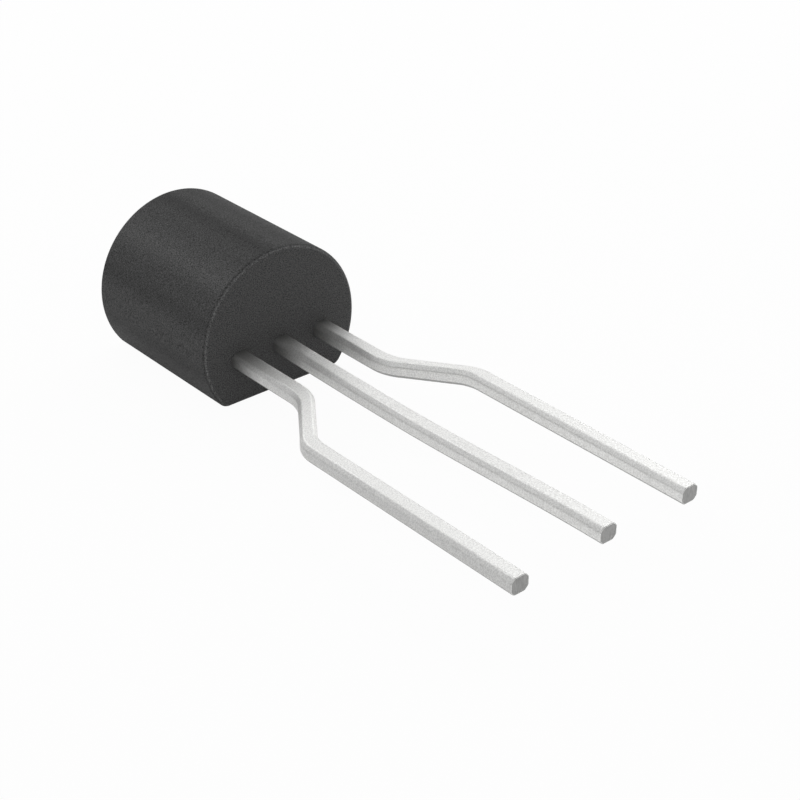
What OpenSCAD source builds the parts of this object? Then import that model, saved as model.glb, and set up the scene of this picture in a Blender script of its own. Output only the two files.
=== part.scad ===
// Small three-lead transistor, lying on the flat of its case.
// X runs across the leads and Z up from the flat. The leads leave the case towards -Y.
// The origin is the middle of the flat.

/* [Case] */
// Width of the case across its round side
case_w = 4.66; // [4.4:0.02:5.2]
// Depth of the case from its flat to the top of its round side
case_d = 3.84; // [3.5:0.02:4.2]
// Length of the case along the leads
case_l = 4.68; // [4.3:0.02:5.4]
// Radius of the two long corners beside the flat
corner_r = 0.3; // [0.2:0.01:0.5]
// Radius of the rounding round both ends of the case
edge_r = 0.1; // [0.04:0.01:0.2]

/* [Leads] */
// Width of a lead
lead_w = 0.505; // [0.4:0.005:0.56]
// Thickness of a lead
lead_t = 0.43; // [0.36:0.01:0.5]
// Bevel on the long edges of a lead
bevel = 0.1; // [0.02:0.01:0.14]
// Height of the middle of the leads above the flat
lead_rise = 1.215; // [1.0:0.005:1.6]
// Length of the leads outside the case
lead_l = 11.24; // [9:0.02:14]
// Distance from lead to lead where they leave the case
exit_pitch = 1.27; // [1.15:0.01:1.4]
// Distance from lead to lead after the outer two are spread
spread_pitch = 2.54; // [2.0:0.02:3.0]
// Distance from the case to the first bend of an outer lead
first_bend = 2.64; // [1.5:0.02:3.0]
// Distance from the case to the second bend of an outer lead
second_bend = 4.4; // [3.9:0.02:6.0]
// Radius of the first bend, at the middle of the lead
first_bend_r = 1.25; // [0.5:0.05:1.6]
// Radius of the second bend, at the middle of the lead
second_bend_r = 0.95; // [0.5:0.05:1.3]
// How far the slightly bowed centre lead dips
bow_dip = 0.05; // [0.01:0.01:0.1]
// Distance from the case to the lowest point of the bow
bow_at = 4.5; // [3.6:0.1:8.0]
// How far the centre lead rises again from there to its tip
tip_rise = 0.155; // [0.05:0.005:0.25]

/* [Frame inside the case] */
// Distance from the face with the leads to the middle of the chip
chip_in = 2.35; // [1.8:0.05:3.0]
// Width of the pad that carries the chip
pad_w = 1.3; // [0.8:0.05:1.5]
// Length of the pad that carries the chip
pad_l = 1.5; // [0.8:0.05:2.0]
// Width of the posts on the outer leads
post_w = 0.8; // [0.7:0.05:0.9]
// Length of the posts on the outer leads
post_l = 1.3; // [0.5:0.05:1.6]
// Gap between the pad and a post
frame_gap = 0.3; // [0.15:0.01:0.4]

/* [Chip and wires] */
// Width and length of the chip
chip_w = 0.55; // [0.4:0.05:0.7]
// Thickness of the chip
chip_t = 0.2; // [0.1:0.01:0.3]
// Thickness of the solder under the chip
solder_t = 0.03; // [0.02:0.01:0.05]
// How far the solder stands out round the chip
solder_rim = 0.04; // [0.01:0.01:0.04]
// Diameter of a bond wire
wire_d = 0.05; // [0.03:0.01:0.08]
// Diameter of the pressed bond at the end of a wire
bond_d = 0.13; // [0.11:0.01:0.16]
// Thickness of the pressed bond at the end of a wire
bond_t = 0.05; // [0.04:0.01:0.07]
// Distance from the middle of the chip to a bond on it
bond_x = 0.15; // [0.1:0.01:0.17]

/* [Hidden] */

// Round side: radius, height of its centre, and facets of a full circle
case_r = case_w / 2;
arc_z = case_d - case_r;
round_fn = 96;
small_fn = 32;
// Rounded long edges beside the flat: sideways place of their centre line
corner_x = sqrt(pow(case_r - corner_r, 2) - pow(arc_z - corner_r, 2));
// Spare size of cutting blocks beyond what they cut
spare = 1;

// Spread of the outer leads: angle of the slanted stretch, and length that each bend takes on either side
slant = atan2(spread_pitch - exit_pitch, second_bend - first_bend);
first_cut = first_bend_r * tan(slant / 2);
second_cut = second_bend_r * tan(slant / 2);
bend_steps = 6;
bow_steps = 12;

// Frame inside the case, measured from the face with the leads
post_x = pad_w / 2 + frame_gap + post_w / 2;
frame_top = lead_t / 2;
chip_top = frame_top + solder_t + chip_t;

// Loop of a bond wire: a circle from the post up and over to the chip
wire_span = post_x - bond_x;
wire_lift = chip_top + bond_t / 2 - frame_top;
wire_r = (pow(wire_span, 2) + pow(wire_lift, 2)) / (2 * wire_span);
wire_turn = 180 - asin(wire_lift / wire_r);

// Moves to the middle of the leads' row, in the face that they leave
module at_exit() {
    translate([0, -case_l / 2, lead_rise]) children();
}

// Corners of a lead's section, bevelled along its four edges
function section() =
    let (a = lead_w / 2, b = lead_t / 2)
    [
        [-a, bevel - b], [bevel - a, -b], [a - bevel, -b], [a, bevel - b],
        [a, b - bevel], [a - bevel, b], [bevel - a, b], [-a, b - bevel]
    ];

// Section at a station [x, y, z, turn]. On the slant it is drawn in, to keep its width across the part.
function ring(s) = [
    for (p = section())
        let (across = p.x * cos(s[3]))
        [s.x + across * cos(s[3]), s.y + across * sin(s[3]), s.z + p.y]
];

// Lead swept through its stations, from the inside of the case to its tip
module swept_lead(stations) {
    n = len(section());
    last = len(stations) - 1;
    points = [for (s = stations) each ring(s)];
    sides = [
        for (i = [0 : last - 1], k = [0 : n - 1])
            [i * n + k, (i + 1) * n + k, (i + 1) * n + (k + 1) % n, i * n + (k + 1) % n]
    ];
    start = [for (k = [0 : n - 1]) k];
    tip = [for (k = [n - 1 : -1 : 0]) last * n + k];
    polyhedron(points = points, faces = concat([start], sides, [tip]));
}

// Stations of the right lead: straight, two opposite bends, straight
function spread_stations() = concat(
    [[exit_pitch, chip_in, 0, 0]],
    [for (i = [0 : bend_steps])
        let (t = slant * i / bend_steps, r = first_bend_r)
        [exit_pitch + r * (1 - cos(t)), first_cut - first_bend - r * sin(t), 0, t]],
    [for (i = [bend_steps : -1 : 0])
        let (t = slant * i / bend_steps, r = second_bend_r)
        [spread_pitch - r * (1 - cos(t)), r * sin(t) - second_bend - second_cut, 0, t]],
    [[spread_pitch, -lead_l, 0, 0]]
);

// Height of the bowed centre lead at a distance d from the case
function bow(d) = d < bow_at
    ? -bow_dip * sin(90 * d / bow_at)
    : tip_rise / 2 * (1 - cos(180 * (d - bow_at) / (lead_l - bow_at))) - bow_dip;

// Stations of the centre lead
function bowed_stations() = concat(
    [[0, chip_in, 0, 0]],
    [for (i = [0 : bow_steps]) let (d = lead_l * i / bow_steps) [0, -d, bow(d), 0]]
);

// Flat part of the frame, centred on the chip's place along the leads
module plate(x, w, l) {
    translate([x - w / 2, chip_in - l / 2, -lead_t / 2]) cube([w, l, lead_t]);
}

// Straight neck of a lead from the face of the case to the middle of its plate
module neck(x) {
    translate([x, 0, 0]) rotate([-90, 0, 0]) linear_extrude(height = chip_in) polygon(section());
}

// Pressed bonds and loop of the right bond wire
module bond_wire() {
    translate([0, chip_in, 0]) {
        translate([post_x, 0, frame_top]) cylinder(d = bond_d, h = bond_t, $fn = small_fn);
        translate([bond_x, 0, chip_top]) cylinder(d = bond_d, h = bond_t, $fn = small_fn);
        translate([post_x - wire_r, 0, frame_top]) rotate([90, 0, 0])
            rotate_extrude(angle = wire_turn, $fn = round_fn)
                translate([wire_r, 0]) circle(d = wire_d, $fn = small_fn);
    }
}

// Layer of solder between the pad and the chip
module solder_layer() {
    side = chip_w + 2 * solder_rim;
    translate([-side / 2, chip_in - side / 2, frame_top]) cube([side, side, solder_t]);
}

// Block of silicon on the solder
module chip_block() {
    translate([-chip_w / 2, chip_in - chip_w / 2, frame_top + solder_t]) cube([chip_w, chip_w, chip_t]);
}

// Everything that the case is moulded round
module moulded_in() {
    plate(0, pad_w, pad_l);
    neck(0);
    solder_layer();
    chip_block();
    for (side = [0, 1]) mirror([side, 0, 0]) {
        plate(post_x, post_w, post_l);
        neck(exit_pitch);
        bond_wire();
    }
}

// Round side with its rims rounded, as a turned form about the centre line of the round side
module turned_form() {
    translate([0, -case_l / 2, arc_z]) rotate([-90, 0, 0]) rotate_extrude($fn = round_fn) {
        square([case_r - edge_r, case_l]);
        translate([0, edge_r]) square([case_r, case_l - 2 * edge_r]);
        for (y = [edge_r, case_l - edge_r])
            translate([case_r - edge_r, y]) circle(r = edge_r, $fn = small_fn);
    }
}

// Outline of the case seen along the leads, with its two corners beside the flat rounded
module outline() {
    out = [corner_x, corner_r - arc_z] * (case_r + spare) / (case_r - corner_r);
    top = case_d + spare;
    polygon([
        [-corner_x, 0], [corner_x, 0], [corner_x, corner_r], [out.x, out.y + arc_z],
        [case_r + spare, top], [-case_r - spare, top], [-out.x, out.y + arc_z], [-corner_x, corner_r]
    ]);
    for (side = [-1, 1]) translate([side * corner_x, corner_r]) circle(r = corner_r, $fn = round_fn);
}

// Outline of the case seen from the side, with the flat's two ends rounded
module side_outline() {
    top = case_d + spare;
    translate([edge_r - case_l / 2, 0]) square([case_l - 2 * edge_r, top]);
    translate([-case_l / 2, edge_r]) square([case_l, top]);
    for (end = [-1, 1]) translate([end * (case_l / 2 - edge_r), edge_r]) circle(r = edge_r, $fn = small_fn);
}

// Outside of the case, solid
module case_form() {
    intersection() {
        turned_form();
        translate([0, case_l / 2 + spare, 0]) rotate([90, 0, 0])
            linear_extrude(height = case_l + 2 * spare) outline();
        translate([-case_r - spare, 0, 0]) rotate([90, 0, 90])
            linear_extrude(height = case_w + 2 * spare) side_outline();
    }
}

module case() {
    color([0.2, 0.2, 0.2]) difference() {
        case_form();
        at_exit() moulded_in();
    }
}

module right_lead() {
    color([0.85, 0.85, 0.84]) at_exit() {
        swept_lead(spread_stations());
        plate(post_x, post_w, post_l);
    }
}

module left_lead() {
    mirror([1, 0, 0]) right_lead();
}

module centre_lead() {
    color([0.85, 0.85, 0.84]) at_exit() {
        swept_lead(bowed_stations());
        plate(0, pad_w, pad_l);
    }
}

module chip() {
    color([0.35, 0.36, 0.4]) at_exit() chip_block();
}

module chip_solder() {
    color([0.7, 0.7, 0.72]) at_exit() solder_layer();
}

module right_bond_wire() {
    color([0.9, 0.72, 0.3]) at_exit() bond_wire();
}

module left_bond_wire() {
    mirror([1, 0, 0]) right_bond_wire();
}

case();
left_lead();
centre_lead();
right_lead();
chip();
chip_solder();
left_bond_wire();
right_bond_wire();
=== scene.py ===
"""Dresses a small three-lead transistor: its moulded case, its leads, and what the case is moulded round."""

import logging
import math
from abc import ABC, abstractmethod
from collections.abc import Mapping, Sequence
from dataclasses import dataclass, field
from enum import Enum

import bpy
import numpy as np
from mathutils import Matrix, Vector


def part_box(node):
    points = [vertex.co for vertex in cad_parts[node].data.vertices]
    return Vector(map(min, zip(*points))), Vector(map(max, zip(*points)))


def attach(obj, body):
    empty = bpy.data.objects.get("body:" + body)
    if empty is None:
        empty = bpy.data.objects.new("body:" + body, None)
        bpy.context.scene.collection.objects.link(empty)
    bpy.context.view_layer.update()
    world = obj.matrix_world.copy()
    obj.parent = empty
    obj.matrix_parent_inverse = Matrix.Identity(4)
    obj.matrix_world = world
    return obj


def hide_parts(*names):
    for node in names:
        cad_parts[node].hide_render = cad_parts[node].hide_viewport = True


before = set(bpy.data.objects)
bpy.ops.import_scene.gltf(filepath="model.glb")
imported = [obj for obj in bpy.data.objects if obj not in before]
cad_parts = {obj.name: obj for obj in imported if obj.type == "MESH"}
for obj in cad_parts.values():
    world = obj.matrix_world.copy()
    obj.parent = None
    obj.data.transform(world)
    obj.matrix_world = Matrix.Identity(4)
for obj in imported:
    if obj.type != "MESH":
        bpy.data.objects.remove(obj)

LOG = logging.getLogger("transistor")
MM = 0.001
MICRON = 0.000001
ROOT = "root"

Colour = tuple[float, float, float]
Span = tuple[float, float]

BLACK: Colour = (0.0, 0.0, 0.0)
WHITE: Colour = (1.0, 1.0, 1.0)


class Axis(Enum):
    """A direction of the frame, as a unit vector."""

    X = (1.0, 0.0, 0.0)
    Y = (0.0, 1.0, 0.0)
    Z = (0.0, 0.0, 1.0)

    def vector(self) -> np.ndarray:
        """The direction as an array."""
        return np.array(self.value)


class Side(Enum):
    """The side of the centre lead on which an outer lead stands."""

    LEFT = -1
    RIGHT = 1


class Graph:
    """The node tree of one material, lamp or world, built one node at a time."""

    def __init__(self, tree: bpy.types.NodeTree) -> None:
        """Empties the tree.

        Args:
            tree: The node tree to build in.
        """
        self.tree = tree
        tree.nodes.clear()

    def node(
        self,
        kind: str,
        settings: Mapping[str, object] | None = None,
        values: Mapping[str | int, object] | None = None,
    ) -> bpy.types.Node:
        """Adds a node.

        Args:
            kind: The node's type, such as ShaderNodeTexNoise.
            settings: The node's own properties, set first.
            values: What each input socket holds: a number, a colour, a vector, a Signal or a socket.

        Returns:
            The new node.
        """
        made = self.tree.nodes.new(kind)
        for name, value in (settings or {}).items():
            setattr(made, name, value)
        for name, value in (values or {}).items():
            source = value.socket if isinstance(value, Signal) else value
            if isinstance(source, bpy.types.NodeSocket):
                self.tree.links.new(source, made.inputs[name])
            else:
                made.inputs[name].default_value = source
        return made

    def signal(
        self,
        kind: str,
        settings: Mapping[str, object] | None = None,
        values: Mapping[str | int, object] | None = None,
        output: str | int = 0,
    ) -> "Signal":
        """Adds a node and returns one of its outputs.

        Args:
            kind: The node's type.
            settings: The node's own properties.
            values: What each input socket holds.
            output: The name or number of the output.

        Returns:
            The output as a Signal.
        """
        return Signal(self, self.node(kind, settings, values).outputs[output])

    def tint(self, amount: "Signal", dark: Colour, light: Colour) -> "Signal":
        """Mixes two colours.

        Args:
            amount: How much of the light colour there is, from 0 to 1.
            dark: The colour at 0.
            light: The colour at 1.

        Returns:
            The colour between them.
        """
        settings = {"data_type": "RGBA"}
        mixed = self.node("ShaderNodeMix", settings, {0: amount, 6: (*dark, 1.0), 7: (*light, 1.0)})
        return Signal(self, mixed.outputs[2])


@dataclass(frozen=True)
class Signal:
    """An output socket, with arithmetic that adds Math nodes to its graph.

    Attributes:
        graph: The graph that the socket is in.
        socket: The socket.
    """

    graph: Graph
    socket: bpy.types.NodeSocket

    def math(self, operation: str, *operands: object) -> "Signal":
        """The result of a Math node.

        Args:
            operation: The node's operation.
            operands: Its inputs in order, numbers or Signals.

        Returns:
            The result.
        """
        return self.graph.signal("ShaderNodeMath", {"operation": operation}, dict(enumerate(operands)))

    def __add__(self, other: object) -> "Signal":
        """The sum."""
        return self.math("ADD", self, other)

    def __radd__(self, other: object) -> "Signal":
        """The sum, with the number first."""
        return self.math("ADD", other, self)

    def __sub__(self, other: object) -> "Signal":
        """The difference."""
        return self.math("SUBTRACT", self, other)

    def __mul__(self, other: object) -> "Signal":
        """The product."""
        return self.math("MULTIPLY", self, other)

    def clamped(self) -> "Signal":
        """The value held between 0 and 1."""
        return self.graph.signal("ShaderNodeClamp", None, {0: self})

    def stretched(self, low: float, high: float) -> "Signal":
        """The value moved from the range low to high on to 0 to 1, and held there."""
        return ((self - low) * (1.0 / (high - low))).clamped()


class Finish(ABC):
    """What a surface is made of and how it is worked, as one procedural material.

    Attributes:
        name: The material's name.
    """

    name: str

    @abstractmethod
    def dress(self, graph: Graph) -> bpy.types.Node:
        """Adds the nodes of the finish.

        Args:
            graph: The graph of the new material.

        Returns:
            The shader's node.
        """

    def material(self) -> bpy.types.Material:
        """Makes the material, or finds it if it is there.

        Returns:
            The material.
        """
        found = bpy.data.materials.get(self.name)
        if found is not None:
            return found
        made = bpy.data.materials.new(self.name)
        made.use_nodes = True
        graph = Graph(made.node_tree)
        shader = self.dress(graph)
        graph.node("ShaderNodeOutputMaterial", None, {"Surface": shader.outputs[0]})
        return made


def place_on_object(graph: Graph, scale: Sequence[float]) -> Signal:
    """The place on the object, stretched by its own factor along each axis.

    Args:
        graph: The graph to add to.
        scale: Factors along X, Y and Z, per metre.

    Returns:
        The stretched place, as a vector.
    """
    place = graph.signal("ShaderNodeTexCoord", None, None, "Object")
    settings = {"operation": "MULTIPLY"}
    return graph.signal("ShaderNodeVectorMath", settings, {0: place, 1: tuple(scale)})


def noise(graph: Graph, scale: Sequence[float], detail: float = 2.0, offset: float = 0.0) -> Signal:
    """Soft noise from 0 to 1 over the object.

    Args:
        graph: The graph to add to.
        scale: Waves per metre along X, Y and Z.
        detail: Number of finer layers in the noise.
        offset: Shift that sets this noise apart from others.

    Returns:
        The noise.
    """
    place = place_on_object(graph, scale)
    settings = {"operation": "ADD"}
    moved = graph.signal("ShaderNodeVectorMath", settings, {0: place, 1: (offset, offset, offset)})
    return graph.signal("ShaderNodeTexNoise", None, {"Vector": moved, "Scale": 1.0, "Detail": detail})


def lean_along(graph: Graph) -> Signal:
    """How far the surface leans towards an end of the object along Y.

    Args:
        graph: The graph to add to.

    Returns:
        0 on the object's sides and 1 on its ends.
    """
    normal = graph.signal("ShaderNodeTexCoord", None, None, "Normal")
    along = graph.signal("ShaderNodeSeparateXYZ", None, {0: normal}, "Y")
    return along.math("ABSOLUTE", along)


@dataclass(frozen=True)
class MouldingCompound(Finish):
    """Black epoxy with a fine mineral filler: matt and finely grained, with painted reflection bands along
    its side, a painted highlight on the rims round both ends, and painted light on both ends.

    Attributes:
        mean: Its mean grey.
        grain_depth: How far the grain takes the grey up and down, as a share of it.
        reflection_band_depth: The same for the painted reflection bands, which only the round side has.
        rim_highlight_lift: How much paler the painted highlight makes the rounded rims round both ends.
        end_light_lift: How much paler the painted light makes the two ends.
        roughness: Its mean roughness.
        rough_spread: How far the grain takes the roughness up and down, from end to end.
        gloss_index: Refractive index, which sets how much it shines.
        grain_per_mm: Fineness of the grain.
        grain_height: Height of the grain.
        grain_strength: How strongly the grain's height shows.
        band_per_mm: How closely the bands follow each other round the case.
        band_stretch: How slowly a band changes along the case, against across it.
        band_place: Which stretch of the endless band pattern the case shows.
        side_lean: Where the surface starts and ends to count as side, as it leans towards an end.
        rim_highlight_start: The same for the start of the painted rim highlight.
        rim_highlight_stop: The same for its other limit, beside the end.
        end_lean: The same for the end.
    """

    name: str = "black_moulding_compound"
    mean: float = 0.0715
    grain_depth: float = 1.0
    reflection_band_depth: float = 0.92
    rim_highlight_lift: float = 0.95
    end_light_lift: float = 0.42
    roughness: float = 0.6
    rough_spread: float = 0.1
    gloss_index: float = 1.15
    grain_per_mm: float = 35.0
    grain_height: float = 0.6 * MICRON
    grain_strength: float = 0.5
    band_per_mm: float = 0.9
    band_stretch: float = 0.01
    band_place: float = 81.5
    side_lean: Span = (0.5, 0.2)
    rim_highlight_start: Span = (0.6, 0.85)
    rim_highlight_stop: Span = (1.0, 0.96)
    end_lean: Span = (0.95, 1.0)

    def dress(self, graph: Graph) -> bpy.types.Node:
        """Adds the grain, the painted reflection bands, the painted highlight on the rims, the painted light
        on the ends, and the shader.

        Args:
            graph: The graph of the new material.

        Returns:
            The shader's node.
        """
        grain = noise(graph, [self.grain_per_mm / MM] * 3, detail=0.0)
        across, along = self.band_per_mm / MM, self.band_per_mm * self.band_stretch / MM
        # Painted reflection bands along the round side.
        band = noise(graph, (across, along, across), detail=1.0, offset=self.band_place)
        lean = lean_along(graph)
        side = lean.stretched(*self.side_lean)
        # Painted highlight on the rounded rims round both ends.
        edge = lean.stretched(*self.rim_highlight_start) * lean.stretched(*self.rim_highlight_stop)
        # Painted light on both ends.
        end = lean.stretched(*self.end_lean)
        # Painted light: the reflection bands on the side, the highlight on the rims and the lighter ends.
        painted_light = side * ((band - 0.5) * (2.0 * self.reflection_band_depth)) + edge * self.rim_highlight_lift + end * self.end_light_lift
        tone = (1.0 + painted_light) * (1.0 + (grain - 0.5) * (2.0 * self.grain_depth))
        grey = (tone * self.mean).clamped()
        rough = self.roughness + (grain - 0.5) * self.rough_spread
        height = {"Strength": self.grain_strength, "Distance": self.grain_height, "Height": grain}
        bump = graph.node("ShaderNodeBump", None, height)
        return graph.node(
            "ShaderNodeBsdfPrincipled",
            None,
            {
                "Base Color": graph.tint(grey, BLACK, WHITE),
                "Roughness": rough,
                "IOR": self.gloss_index,
                "Normal": bump.outputs[0],
            },
        )


@dataclass(frozen=True)
class TinPlate(Finish):
    """Matt tin over drawn strip: soft reflections, a crystalline grain, faint lines, painted shade at the
    root and painted shade on the underside.

    Attributes:
        white: Colour of the brightest tin.
        dark: Brightness of its darkest spots, where 1 is white.
        light: Brightness of its lightest spots.
        root_shade_share: How much of the brightness the painted shade leaves where the lead enters the case.
        root_shade_reach: How far out of the case the painted shade fades away.
        underside_shade_share: How much of the brightness the painted shade on the underside leaves.
        underside_shade_lean: Upward part of the normal where that painted shade is full, and where it ends.
        roughness: Its mean roughness.
        rough_spread: How far the mottling and the lines take the roughness up and down, from end to end.
        grain_per_mm: Fineness of the crystals.
        grain_range: Stretch of the noise that makes the crystals' dark and light.
        grain_weight: The crystals' share in the tone. The mottling and the lines share the rest.
        mottle_per_mm: Fineness of the mottling.
        soft_range: Stretch of the noise that makes the mottling's and the lines' dark and light.
        line_per_mm: Fineness of the drawn lines across and along the lead.
        line_share: The lines' share in the relief. The crystals have the rest.
        relief_height: Height of the relief.
        relief_strength: How strongly it shows.
    """

    name: str = "matt_tin_plate"
    white: Colour = (1.0, 1.0, 0.987)
    dark: float = 0.75
    light: float = 0.97
    root_shade_share: float = 0.4
    root_shade_reach: float = 1.2 * MM
    underside_shade_share: float = 0.45
    underside_shade_lean: Span = (-0.45, -0.12)
    roughness: float = 0.55
    rough_spread: tuple[float, float] = (0.08, 0.06)
    grain_per_mm: float = 30.0
    grain_range: Span = (0.36, 0.64)
    grain_weight: float = 0.8
    mottle_per_mm: float = 3.0
    soft_range: Span = (0.3, 0.7)
    line_per_mm: tuple[float, float] = (20.0, 0.6)
    line_share: float = 0.6
    relief_height: float = 0.5 * MICRON
    relief_strength: float = 0.5

    def dress(self, graph: Graph) -> bpy.types.Node:
        """Adds the grain, the mottling, the drawn lines, the painted shade at the root and on the underside,
        and the shader.

        Args:
            graph: The graph of the new material.

        Returns:
            The shader's node.
        """
        across, down = (count / MM for count in self.line_per_mm)
        grain = noise(graph, [self.grain_per_mm / MM] * 3, detail=1.0, offset=3.0)
        mottle = noise(graph, [self.mottle_per_mm / MM] * 3, offset=19.0)
        lines = noise(graph, (across, down, across), offset=13.0)
        crystals = grain.stretched(*self.grain_range)
        soft = mottle.stretched(*self.soft_range) + lines.stretched(*self.soft_range)
        tone = crystals * self.grain_weight + soft * ((1.0 - self.grain_weight) / 2.0)
        # Painted shade where the lead enters the case, fading out along it.
        place = graph.signal("ShaderNodeTexCoord", None, None, "Object")
        along = graph.signal("ShaderNodeSeparateXYZ", None, {0: place}, "Y")
        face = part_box("case")[0].y
        root_shade = along.stretched(face, face - self.root_shade_reach) * (1.0 - self.root_shade_share) + self.root_shade_share
        # Painted shade on the lead's underside, set by the normal's upward part.
        normal = graph.signal("ShaderNodeTexCoord", None, None, "Normal")
        upward = graph.signal("ShaderNodeSeparateXYZ", None, {0: normal}, "Z")
        underside_shade = upward.stretched(*self.underside_shade_lean) * (1.0 - self.underside_shade_share) + self.underside_shade_share
        bright = (tone * (self.light - self.dark) + self.dark) * root_shade * underside_shade
        cloudy, lined = self.rough_spread
        rough = self.roughness + (mottle - 0.5) * cloudy + (lines - 0.5) * lined
        relief = lines * self.line_share + grain * (1.0 - self.line_share)
        height = {"Strength": self.relief_strength, "Distance": self.relief_height, "Height": relief}
        bump = graph.node("ShaderNodeBump", None, height)
        return graph.node(
            "ShaderNodeBsdfPrincipled",
            None,
            {
                "Base Color": graph.tint(bright.clamped(), BLACK, self.white),
                "Metallic": 1.0,
                "Roughness": rough,
                "Normal": bump.outputs[0],
            },
        )


@dataclass(frozen=True)
class CutAlloy(Finish):
    """Bare alloy where a lead was sheared off: darker and rougher than the plating.

    Attributes:
        dark: Colour at the bottom of the shear marks.
        light: Colour at their top.
        roughness: Its mean roughness.
        rough_spread: How far the marks take the roughness up and down, from end to end.
        mark_per_mm: Fineness of the marks across, along and up the lead.
        mark_range: Stretch of the noise that makes the marks' dark and light.
        mark_height: Height of the marks.
        mark_strength: How strongly their height shows.
    """

    name: str = "cut_alloy"
    dark: Colour = (0.31, 0.31, 0.305)
    light: Colour = (0.46, 0.46, 0.453)
    roughness: float = 0.55
    rough_spread: float = 0.2
    mark_per_mm: tuple[float, float, float] = (30.0, 8.0, 6.0)
    mark_range: Span = (0.3, 0.7)
    mark_height: float = 2.0 * MICRON
    mark_strength: float = 0.8

    def dress(self, graph: Graph) -> bpy.types.Node:
        """Adds the shear marks, which run down the cut, and the shader.

        Args:
            graph: The graph of the new material.

        Returns:
            The shader's node.
        """
        tear = noise(graph, [count / MM for count in self.mark_per_mm], detail=3.0, offset=3.0)
        height = {"Strength": self.mark_strength, "Distance": self.mark_height, "Height": tear}
        bump = graph.node("ShaderNodeBump", None, height)
        return graph.node(
            "ShaderNodeBsdfPrincipled",
            None,
            {
                "Base Color": graph.tint(tear.stretched(*self.mark_range), self.dark, self.light),
                "Metallic": 1.0,
                "Roughness": self.roughness + (tear - 0.5) * self.rough_spread,
                "Normal": bump.outputs[0],
            },
        )


@dataclass(frozen=True)
class HiddenMetal(Finish):
    """A plain metal inside the case, with fine mottling: the solder or the gold of the bond wires.

    Attributes:
        dark: Its darker colour.
        light: Its lighter colour.
        roughness: Its mean roughness.
        rough_spread: How far the mottling takes the roughness up and down, from end to end.
        mottle_per_mm: Fineness of the mottling.
        mottle_range: Stretch of the noise that makes its dark and light.
    """

    name: str = "hidden_metal"
    dark: Colour = (0.5, 0.5, 0.52)
    light: Colour = (0.64, 0.64, 0.66)
    roughness: float = 0.35
    rough_spread: float = 0.1
    mottle_per_mm: float = 40.0
    mottle_range: Span = (0.3, 0.7)

    def dress(self, graph: Graph) -> bpy.types.Node:
        """Adds the mottling and the shader.

        Args:
            graph: The graph of the new material.

        Returns:
            The shader's node.
        """
        mottle = noise(graph, [self.mottle_per_mm / MM] * 3)
        return graph.node(
            "ShaderNodeBsdfPrincipled",
            None,
            {
                "Base Color": graph.tint(mottle.stretched(*self.mottle_range), self.dark, self.light),
                "Metallic": 1.0,
                "Roughness": self.roughness + (mottle - 0.5) * self.rough_spread,
            },
        )


@dataclass(frozen=True)
class Silicon(Finish):
    """The chip's dark glassy face, with faint cloudy patches.

    Attributes:
        dark: Colour of the darker patches.
        light: Colour of the lighter patches.
        roughness: Its mean roughness.
        rough_spread: How far the patches take the roughness up and down, from end to end.
        gloss_index: Refractive index, which sets how much it shines.
        patch_per_mm: Fineness of the patches.
        patch_range: Stretch of the noise that makes their dark and light.
    """

    name: str = "silicon"
    dark: Colour = (0.07, 0.075, 0.1)
    light: Colour = (0.14, 0.15, 0.19)
    roughness: float = 0.2
    rough_spread: float = 0.1
    gloss_index: float = 1.5
    patch_per_mm: float = 12.0
    patch_range: Span = (0.3, 0.7)

    def dress(self, graph: Graph) -> bpy.types.Node:
        """Adds the patches and the shader.

        Args:
            graph: The graph of the new material.

        Returns:
            The shader's node.
        """
        patch = noise(graph, [self.patch_per_mm / MM] * 3)
        return graph.node(
            "ShaderNodeBsdfPrincipled",
            None,
            {
                "Base Color": graph.tint(patch.stretched(*self.patch_range), self.dark, self.light),
                "Roughness": self.roughness + (patch - 0.5) * self.rough_spread,
                "IOR": self.gloss_index,
            },
        )


@dataclass(frozen=True)
class StudioFloor(Finish):
    """Plain pale floor, which reads as white paper and keeps a faint shadow.

    Attributes:
        grey: Colour of the paper.
        white_share: How much of what the camera sees there is plain white.
        glow: White added to what the metal sees there, on top of the lit paper.
        glow_left: The same to the left of the part, where the glow stops as a painted shade that only the
            metal sees.
        shade_edge: Where that painted shade starts and ends, across the part.
    """

    name: str = "studio_floor"
    grey: Colour = (0.85, 0.85, 0.85)
    white_share: float = 0.96
    glow: float = 0.31
    glow_left: float = 0.0
    shade_edge: Span = (-3.3 * MM, -2.9 * MM)

    def dress(self, graph: Graph) -> bpy.types.Node:
        """Adds the paper, and what the camera and the metal see of it.

        Args:
            graph: The graph of the new material.

        Returns:
            The shader's node.
        """
        path = graph.node("ShaderNodeLightPath")
        camera = Signal(graph, path.outputs["Is Camera Ray"])
        glossy = Signal(graph, path.outputs["Is Glossy Ray"])
        clear = Signal(graph, path.outputs["Is Transmission Ray"])
        place = graph.signal("ShaderNodeTexCoord", None, None, "Object")
        across = graph.signal("ShaderNodeSeparateXYZ", None, {0: place}, "X")
        # Painted shade in the glow that only the metal sees: none to the left of the part.
        glow = across.stretched(*self.shade_edge) * (self.glow - self.glow_left) + self.glow_left
        paper = graph.node("ShaderNodeBsdfDiffuse", None, {"Color": (*self.grey, 1.0)})
        strength = (glossy + clear) * glow
        shine = graph.node("ShaderNodeEmission", None, {"Color": (*WHITE, 1.0), "Strength": strength})
        seen = graph.node("ShaderNodeAddShader", None, {0: paper.outputs[0], 1: shine.outputs[0]})
        white = graph.node("ShaderNodeEmission", None, {"Color": (*WHITE, 1.0), "Strength": 1.0})
        share = camera * self.white_share
        return graph.node("ShaderNodeMixShader", None, {0: share, 1: seen.outputs[0], 2: white.outputs[0]})


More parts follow.
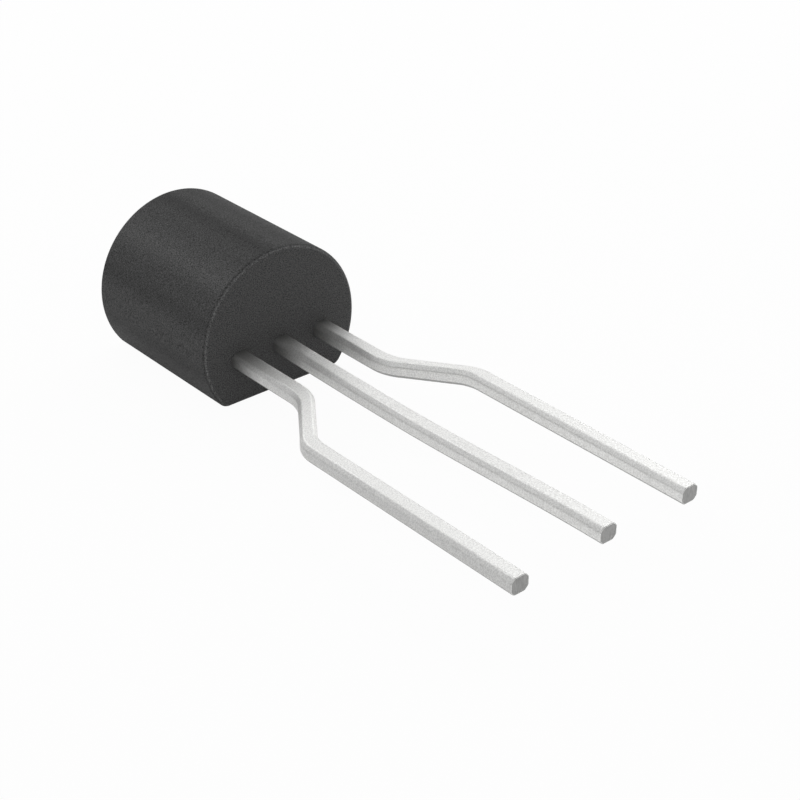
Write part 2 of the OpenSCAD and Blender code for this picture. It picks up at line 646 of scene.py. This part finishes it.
@dataclass(frozen=True)
class Outline:
    """A closed convex outline with rounded corners: a core, outward normals, and the radius between.

    Attributes:
        core: Points of the core, one row each, across and up.
        normals: Unit normals at those points.
        radius: Distance from the core to the outline.
    """

    core: np.ndarray
    normals: np.ndarray
    radius: float

    def ring(self, inset: float = 0.0) -> np.ndarray:
        """The outline, drawn in by an inset."""
        return self.core + self.normals * (self.radius - inset)

    @staticmethod
    def rounded(corners: Sequence[tuple[float, float]], radius: float, steps: int) -> "Outline":
        """A convex polygon with rounded corners.

        Args:
            corners: The sharp polygon's corners, anticlockwise, with the outline's true sides.
            radius: Radius of each corner.
            steps: Number of steps in each corner's arc.

        Returns:
            The outline.
        """
        points = np.array(corners, float)
        edges = np.roll(points, -1, axis=0) - points
        edges /= np.linalg.norm(edges, axis=1)[:, None]
        outward = np.column_stack([edges[:, 1], -edges[:, 0]])
        core, normals = [], []
        for point, before, after in zip(points, np.roll(outward, 1, axis=0), outward):
            middle = (before + after) / (1.0 + before @ after)
            start = math.atan2(before[1], before[0])
            turn = math.acos(max(-1.0, min(1.0, float(before @ after))))
            for step in range(steps + 1):
                angle = start + turn * step / steps
                core.append(point - middle * radius)
                normals.append((math.cos(angle), math.sin(angle)))
        return Outline(np.array(core), np.array(normals), radius)

    @staticmethod
    def flatted_circle(
        radius: float, height: float, corner: float, steps: int, corner_steps: int
    ) -> "Outline":
        """A circle with a flat below, whose two corners are rounded.

        Args:
            radius: Radius of the round side.
            height: Height of its centre above the flat.
            corner: Radius of the corners beside the flat.
            steps: Number of steps in the round side.
            corner_steps: Number of steps in each corner's arc.

        Returns:
            The outline, with the flat at height 0.
        """
        inner = radius - corner
        start = math.asin((corner - height) / inner)
        core, normals = [], []
        for step in range(steps + 1):
            angle = start + (math.pi - 2 * start) * step / steps
            unit = (math.cos(angle), math.sin(angle))
            core.append((inner * unit[0], height + inner * unit[1]))
            normals.append(unit)
        for step in range(1, corner_steps + 1):
            angle = math.pi - start + (math.pi / 2 + start) * step / corner_steps
            core.append(core[steps])
            normals.append((math.cos(angle), math.sin(angle)))
        for step in range(corner_steps):
            angle = -math.pi / 2 + (math.pi / 2 + start) * step / corner_steps
            core.append(core[0])
            normals.append((math.cos(angle), math.sin(angle)))
        return Outline(np.array(core), np.array(normals), corner)


@dataclass(frozen=True)
class Station:
    """A place along a swept form, where its outline is drawn square to the path.

    Attributes:
        place: The outline's own zero, in metres.
        across: Direction of the outline's first axis.
        up: Direction of the outline's second axis.
        outline: The outline there.
        inset: How far the outline is drawn in.
        lean: Angle by which the surface leans along the path, positive towards its end.
    """

    place: np.ndarray
    across: np.ndarray
    up: np.ndarray
    outline: Outline
    inset: float = 0.0
    lean: float = 0.0

    def along(self) -> np.ndarray:
        """Direction of the path."""
        return np.cross(self.across, self.up)

    def points(self) -> np.ndarray:
        """The ring's points."""
        ring = self.outline.ring(self.inset)
        return self.place + ring[:, :1] * self.across + ring[:, 1:] * self.up

    def normals(self) -> np.ndarray:
        """The surface's normals at those points."""
        flat = self.outline.normals[:, :1] * self.across + self.outline.normals[:, 1:] * self.up
        return flat * math.cos(self.lean) + self.along() * math.sin(self.lean)


def rim(station: Station, radius: float, steps: int, end: int) -> list[Station]:
    """Stations that round the rim at one end of a swept form.

    Args:
        station: The station at the very end, with no inset.
        radius: Radius of the rim.
        steps: Number of steps in its arc.
        end: 1 at the end of the path, -1 at its start.

    Returns:
        The stations, in the order of the path.
    """
    made = []
    for step in range(steps + 1):
        angle = math.pi / 2 * step / steps
        back = radius * (1.0 - math.sin(angle)) * end
        made.append(
            Station(
                station.place - station.along() * back,
                station.across,
                station.up,
                station.outline,
                radius * (1.0 - math.cos(angle)),
                angle * end,
            )
        )
    return made if end > 0 else made[::-1]


@dataclass
class Skin:
    """Vertices, normals and faces of one piece, gathered form by form.

    Attributes:
        points: The vertices, ring by ring.
        normals: The surface's normals at the vertices.
        faces: The numbers of each face's vertices.
        end_faces: The numbers of the faces that take the piece's second material.
    """

    points: list[np.ndarray] = field(default_factory=list)
    normals: list[np.ndarray] = field(default_factory=list)
    faces: list[tuple[int, ...]] = field(default_factory=list)
    end_faces: list[int] = field(default_factory=list)

    def sweep(self, stations: Sequence[Station], mark_end: bool = False) -> None:
        """Adds a closed form swept through stations.

        Args:
            stations: The stations in order.
            mark_end: Whether the face that closes the end takes the piece's second material.
        """
        base = sum(len(p) for p in self.points)
        count = len(stations[0].outline.core)
        for station in stations:
            self.points.append(station.points())
            self.normals.append(station.normals())
        for i in range(len(stations) - 1):
            for k in range(count):
                near, far, after = base + i * count, base + (i + 1) * count, (k + 1) % count
                self.faces.append((near + k, near + after, far + after, far + k))
        last = base + (len(stations) - 1) * count
        self.faces.append(tuple(base + k for k in reversed(range(count))))
        if mark_end:
            self.end_faces.append(len(self.faces))
        self.faces.append(tuple(last + k for k in range(count)))

    def piece(self, name: str, finishes: Sequence[Finish]) -> bpy.types.Object:
        """Makes the object.

        Args:
            name: The piece's name.
            finishes: Its finish, and the second one for marked faces.

        Returns:
            The object, in the frame.
        """
        mesh = bpy.data.meshes.new(name)
        mesh.from_pydata(np.vstack(self.points).tolist(), [], self.faces)
        mesh.shade_smooth()
        for finish in finishes:
            mesh.materials.append(finish.material())
        for index in self.end_faces:
            mesh.polygons[index].material_index = len(finishes) - 1
        mesh.normals_split_custom_set_from_vertices(np.vstack(self.normals).tolist())
        mesh.validate()
        made = bpy.data.objects.new(name, mesh)
        bpy.context.scene.collection.objects.link(made)
        return made


def settle(piece: bpy.types.Object, node: str) -> None:
    """Lets a piece stand for its CAD node on the root body.

    Args:
        piece: The piece.
        node: The node that it replaces.
    """
    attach(piece, ROOT)
    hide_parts(node)
    LOG.info("%s: %d faces for node %s", piece.name, len(piece.data.polygons), node)


@dataclass
class Case:
    """The moulded case: a round body with a flat below and every edge rounded.

    Attributes:
        edge: Radius of the rounding round both ends.
        corner: Radius of the long corners beside the flat.
        round_steps: Number of steps in the round side.
        corner_steps: Number of steps in each long corner.
        rim_steps: Number of steps in the rounding round an end.
        finish: What it is made of.
    """

    edge: float = 0.1 * MM
    corner: float = 0.3 * MM
    round_steps: int = 128
    corner_steps: int = 12
    rim_steps: int = 6
    finish: Finish = MouldingCompound()

    def stations(self) -> list[Station]:
        """Places the outline along the case, in the frame's box.

        Returns:
            The stations, from the face with the leads to the far end.
        """
        low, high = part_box("case")
        radius = (high.x - low.x) / 2
        steps = (self.round_steps, self.corner_steps)
        outline = Outline.flatted_circle(radius, high.z - radius, self.corner, *steps)
        across, up = -Axis.X.vector(), Axis.Z.vector()
        front = Station(np.array((0.0, low.y, 0.0)), across, up, outline)
        rear = Station(np.array((0.0, high.y, 0.0)), across, up, outline)
        return rim(front, self.edge, self.rim_steps, -1) + rim(rear, self.edge, self.rim_steps, 1)

    def build(self) -> None:
        """Makes the case and lets it stand for its node."""
        skin = Skin()
        skin.sweep(self.stations())
        settle(skin.piece("moulded_case", [self.finish]), "case")


@dataclass
class Lead(ABC):
    """A bevelled lead with its plate inside the case.

    Attributes:
        width: Width of its section.
        thickness: Height of its section.
        bevel: Bevel of its long edges.
        ridge: Radius to which the bevels' own edges are rubbed.
        ridge_steps: Number of steps in that.
        tip_edge: Radius of the rim round the tip and of the plate's edges.
        tip_steps: Number of steps in that.
        rise: Height of the leads' middle plane above the flat.
        length: How far it reaches out of the case.
        plating: Its finish.
        cut: The finish of its tip.
    """

    width: float = 0.505 * MM
    thickness: float = 0.43 * MM
    bevel: float = 0.1 * MM
    ridge: float = 0.08 * MM
    ridge_steps: int = 3
    tip_edge: float = 0.02 * MM
    tip_steps: int = 2
    rise: float = 1.215 * MM
    length: float = 11.24 * MM
    plating: Finish = TinPlate()
    cut: Finish = CutAlloy()

    def outline(self, turn: float = 0.0) -> Outline:
        """Draws the section, narrower where the lead is turned, so that its width across the part stays.

        Args:
            turn: Angle of the lead away from -Y.

        Returns:
            The outline.
        """
        a, b, c = self.width / 2, self.thickness / 2, self.bevel
        corners = [
            (-a, c - b),
            (c - a, -b),
            (a - c, -b),
            (a, c - b),
            (a, b - c),
            (a - c, b),
            (c - a, b),
            (-a, b - c),
        ]
        drawn = [(x * math.cos(turn), y) for x, y in corners]
        return Outline.rounded(drawn, self.ridge, self.ridge_steps)

    def station(
        self, x: float, out: float, lift: float = 0.0, turn: float = 0.0, dip: float = 0.0
    ) -> Station:
        """A station of the lead.

        Args:
            x: Place across the part.
            out: Distance out of the case, negative inside it.
            lift: Height above the leads' middle plane.
            turn: Angle of the path away from -Y, towards +X.
            dip: Angle of the path above the level.

        Returns:
            The station, whose path runs away from the case.
        """
        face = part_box("case")[0].y
        place = np.array((x, face - out, self.rise + lift))
        across = np.array((math.cos(turn), math.sin(turn), 0.0))
        level = np.array((math.sin(turn), -math.cos(turn), 0.0))
        up = Axis.Z.vector() * math.cos(dip) - level * math.sin(dip)
        return Station(place, across, up, self.outline(turn))

    def plate(self, x: float, width: float, length: float) -> list[Station]:
        """Stations of the flat plate that the lead ends in, in line with the chip.

        Args:
            x: Place of its middle across the part.
            width: Its width.
            length: Its length along the lead.

        Returns:
            The stations.
        """
        low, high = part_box("chip")
        middle = (low.y + high.y) / 2
        a, b = width / 2, self.thickness / 2
        outline = Outline.rounded([(-a, -b), (a, -b), (a, b), (-a, b)], self.tip_edge, self.tip_steps)
        across, up = -Axis.X.vector(), Axis.Z.vector()
        ends = [np.array((x, middle + side * length / 2, self.rise)) for side in (-1, 1)]
        return [Station(end, across, up, outline) for end in ends]

    @abstractmethod
    def path(self) -> list[Station]:
        """Stations from inside the case to the tip."""

    @abstractmethod
    def inner_plate(self) -> list[Station]:
        """Stations of the plate."""

    def build(self, name: str, node: str) -> None:
        """Makes the lead and lets it stand for its node.

        Args:
            name: The piece's name.
            node: The node that it replaces.
        """
        stations = self.path()
        skin = Skin()
        skin.sweep(stations[:-1] + rim(stations[-1], self.tip_edge, self.tip_steps, 1), mark_end=True)
        skin.sweep(self.inner_plate())
        settle(skin.piece(name, [self.plating, self.cut]), node)


@dataclass
class SpreadLead(Lead):
    """An outer lead: straight, bent outwards, bent back, and straight again.

    Attributes:
        side: The side of the centre lead on which it stands.
        exit_pitch: How far from the centre lead it leaves the case.
        spread_pitch: The same at its tip.
        first_bend: Distance from the case at which its straight lines would cross at the first bend.
        second_bend: The same at the second bend.
        first_radius: Radius of the first bend.
        second_radius: Radius of the second bend.
        bend_steps: Number of steps in a bend.
        post_width: Width of the post for the bond wire.
        post_length: Its length.
        post_inner_edge: Distance of its inner edge from the middle of the part.
    """

    side: Side = Side.RIGHT
    exit_pitch: float = 1.27 * MM
    spread_pitch: float = 2.54 * MM
    first_bend: float = 2.64 * MM
    second_bend: float = 4.4 * MM
    first_radius: float = 1.25 * MM
    second_radius: float = 0.95 * MM
    bend_steps: int = 16
    post_width: float = 0.8 * MM
    post_length: float = 1.3 * MM
    post_inner_edge: float = 0.95 * MM

    def path(self) -> list[Station]:
        """Places the section along the two opposite bends.

        Returns:
            The stations, from inside the case to the tip.
        """
        way = self.side.value
        slant = math.atan2(self.spread_pitch - self.exit_pitch, self.second_bend - self.first_bend)
        turns = [slant * step / self.bend_steps for step in range(self.bend_steps + 1)]
        made = [self.station(way * self.exit_pitch, -self.post_length)]
        for turn in turns:
            x = self.exit_pitch + self.first_radius * (1 - math.cos(turn))
            out = self.first_bend + self.first_radius * (math.sin(turn) - math.tan(slant / 2))
            made.append(self.station(way * x, out, 0.0, way * turn))
        for turn in reversed(turns):
            x = self.spread_pitch - self.second_radius * (1 - math.cos(turn))
            out = self.second_bend - self.second_radius * (math.sin(turn) - math.tan(slant / 2))
            made.append(self.station(way * x, out, 0.0, way * turn))
        made.append(self.station(way * self.spread_pitch, self.length))
        return made

    def inner_plate(self) -> list[Station]:
        """The post for the bond wire."""
        x = self.side.value * (self.post_inner_edge + self.post_width / 2)
        return self.plate(x, self.post_width, self.post_length)


@dataclass
class CentreLead(Lead):
    """The centre lead, slightly bowed, which ends in the chip's pad.

    Attributes:
        bow_dip: How far it dips.
        bow_at: Distance from the case at which it is lowest.
        tip_rise: How far it rises again from there to its tip.
        bow_steps: Number of steps along it.
        pad_width: Width of the chip's pad.
        pad_length: Its length.
    """

    bow_dip: float = 0.05 * MM
    bow_at: float = 4.5 * MM
    tip_rise: float = 0.155 * MM
    bow_steps: int = 24
    pad_width: float = 1.3 * MM
    pad_length: float = 1.5 * MM

    def bow(self, out: float) -> tuple[float, float]:
        """The bow at a distance from the case.

        Args:
            out: The distance.

        Returns:
            The lead's height above the straight line, and its slope there as an angle.
        """
        if out < self.bow_at:
            turn = math.pi / 2 * out / self.bow_at
            slope = -self.bow_dip * math.cos(turn) * math.pi / 2 / self.bow_at
            return -self.bow_dip * math.sin(turn), math.atan(slope)
        rest = self.length - self.bow_at
        turn = math.pi * (out - self.bow_at) / rest
        slope = self.tip_rise / 2 * math.sin(turn) * math.pi / rest
        return self.tip_rise / 2 * (1 - math.cos(turn)) - self.bow_dip, math.atan(slope)

    def path(self) -> list[Station]:
        """Places the section along the bow.

        Returns:
            The stations, from inside the case to the tip.
        """
        made = [self.station(0.0, -self.pad_length)]
        for step in range(self.bow_steps + 1):
            out = self.length * step / self.bow_steps
            lift, dip = self.bow(out)
            made.append(self.station(0.0, out, lift, 0.0, dip))
        return made

    def inner_plate(self) -> list[Station]:
        """The pad under the chip."""
        return self.plate(0.0, self.pad_width, self.pad_length)


@dataclass
class Innards:
    """The chip, its solder and its bond wires, which keep their CAD meshes and take their finishes.

    Attributes:
        solder: Finish of the solder.
        gold: Finish of the bond wires.
        silicon: Finish of the chip.
    """

    solder: Finish = HiddenMetal("dull_solder")
    gold: Finish = HiddenMetal("bond_gold", (0.83, 0.58, 0.2), (0.95, 0.72, 0.32), 0.25)
    silicon: Finish = Silicon()

    def dress(self) -> None:
        """Gives each inner node its material."""
        plan = {
            "chip": (self.silicon, "silicon"),
            "chip_solder": (self.solder, "solder"),
            "left_bond_wire": (self.gold, "bond_gold"),
            "right_bond_wire": (self.gold, "bond_gold"),
        }
        for node, (finish, slot) in plan.items():
            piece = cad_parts[node]
            piece.data.materials.clear()
            piece.data.materials.append(finish.material())
            LOG.info("%s: dressed in %s", node, finish.name)


@dataclass(frozen=True)
class Softbox:
    """A soft square lamp.

    Attributes:
        name: The lamp's name.
        azimuth: Where it stands round the part, in degrees from +X towards +Y.
        elevation: How high it stands, in degrees.
        radiance: How bright its face is, where 1 is white.
        distance: Its distance from the part.
        size: Its width.
    """

    name: str
    azimuth: float
    elevation: float
    radiance: float
    distance: float = 100 * MM
    size: float = 45 * MM

    def build(self, target: Vector) -> None:
        """Makes the lamp, hidden from the camera.

        Args:
            target: The place that it is turned to.
        """
        lamp = bpy.data.lights.new(self.name, "AREA")
        lamp.shape = "SQUARE"
        lamp.size = self.size
        lamp.energy = self.radiance * math.pi * self.size**2
        made = bpy.data.objects.new(self.name, lamp)
        turn, height = math.radians(self.azimuth), math.radians(self.elevation)
        level = math.cos(height)
        way = Vector((math.cos(turn) * level, math.sin(turn) * level, math.sin(height)))
        made.location = target + way * self.distance
        made.rotation_mode = "QUATERNION"
        made.rotation_quaternion = (-way).to_track_quat("-Z", "Y")
        made.visible_camera = False
        bpy.context.scene.collection.objects.link(made)


@dataclass
class Studio:
    """Floor, lamps, world and camera.

    Attributes:
        floor_width: Width of the floor.
        floor_gap: How far the floor lies below the flat, so that the two faces don't share a plane.
        camera_place: Where the camera stands.
        azimuth: The camera's angle round the part, in degrees from -Y towards +X.
        elevation: The camera's angle above the level, in degrees.
        lens: The camera's focal length, in millimetres.
        fill: Strength of the even light from all round, where 1 is white.
        seen_in_metal: Strength at which the metal sees the world.
        target: The place that the lamps are turned to.
        floor: The floor's finish.
        lamps: The lamps.
    """

    floor_width: float = 1000 * MM
    floor_gap: float = 0.004 * MM
    camera_place: tuple[float, float, float] = (-22.766 * MM, -33.566 * MM, 21.837 * MM)
    azimuth: float = -40.502
    elevation: float = 30.007
    lens: float = 78.5
    fill: float = 0.39
    seen_in_metal: float = 0.3
    target: tuple[float, float, float] = (0.0, -3.0 * MM, 1.5 * MM)
    floor: Finish = StudioFloor()
    lamps: tuple[Softbox, ...] = (
        Softbox("rear_softbox", 80.0, 40.0, 2.2),
        Softbox("rear_left_softbox", 110.0, 40.0, 1.1),
        Softbox("rear_right_softbox", 50.0, 40.0, 0.6),
        Softbox("right_softbox", 20.0, 40.0, 2.8),
        Softbox("overhead_left_softbox", 192.0, 57.0, 1.85),
        Softbox("low_right_softbox", 0.0, 15.0, 2.5),
        Softbox("low_rear_softbox", 90.0, 15.0, 0.6),
        Softbox("low_left_softbox", 150.0, 15.0, 0.35),
    )

    def build_floor(self) -> None:
        """Makes the floor just under the flat."""
        half = self.floor_width / 2
        corners = [(-half, -half), (half, -half), (half, half), (-half, half)]
        mesh = bpy.data.meshes.new("floor")
        mesh.from_pydata([(x, y, -self.floor_gap) for x, y in corners], [], [(0, 1, 2, 3)])
        mesh.materials.append(self.floor.material())
        made = bpy.data.objects.new("floor", mesh)
        bpy.context.scene.collection.objects.link(made)

    def build_world(self) -> None:
        """Lights the part from all round, and shows white to the camera and a dimmer white in the metal."""
        world = bpy.data.worlds.new("studio")
        world.use_nodes = True
        graph = Graph(world.node_tree)
        path = graph.node("ShaderNodeLightPath")
        camera = Signal(graph, path.outputs["Is Camera Ray"])
        glossy = Signal(graph, path.outputs["Is Glossy Ray"])
        clear = Signal(graph, path.outputs["Is Transmission Ray"])
        mirrored = (glossy + clear) * (self.seen_in_metal - self.fill)
        strength = camera * (1.0 - self.fill) + mirrored + self.fill
        values = {"Color": (*WHITE, 1.0), "Strength": strength}
        background = graph.node("ShaderNodeBackground", None, values)
        graph.node("ShaderNodeOutputWorld", None, {"Surface": background.outputs[0]})
        bpy.context.scene.world = world

    def build_camera(self) -> None:
        """Makes the camera at the photograph's angle."""
        data = bpy.data.cameras.new("camera")
        data.lens = self.lens
        data.clip_start = 1 * MM
        data.clip_end = 10 * self.floor_width
        made = bpy.data.objects.new("camera", data)
        turn, height = math.radians(self.azimuth), math.radians(self.elevation)
        level = math.cos(height)
        back = Vector((math.sin(turn) * level, -math.cos(turn) * level, math.sin(height)))
        made.location = self.camera_place
        made.rotation_mode = "QUATERNION"
        made.rotation_quaternion = (-back).to_track_quat("-Z", "Y")
        bpy.context.scene.collection.objects.link(made)
        bpy.context.scene.camera = made

    def build(self) -> None:
        """Makes the whole studio."""
        self.build_floor()
        self.build_world()
        self.build_camera()
        for lamp in self.lamps:
            lamp.build(Vector(self.target))
        bpy.context.scene.view_settings.view_transform = "Standard"


def main() -> None:
    """Builds and dresses the part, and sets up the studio."""
    logging.basicConfig(level=logging.INFO, format="%(message)s")
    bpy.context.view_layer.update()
    Studio().build()
    Case().build()
    SpreadLead(side=Side.LEFT).build("left_plated_lead", "left_lead")
    CentreLead().build("centre_plated_lead", "centre_lead")
    SpreadLead(side=Side.RIGHT).build("right_plated_lead", "right_lead")
    Innards().dress()


if __name__ == "__main__":
    main()
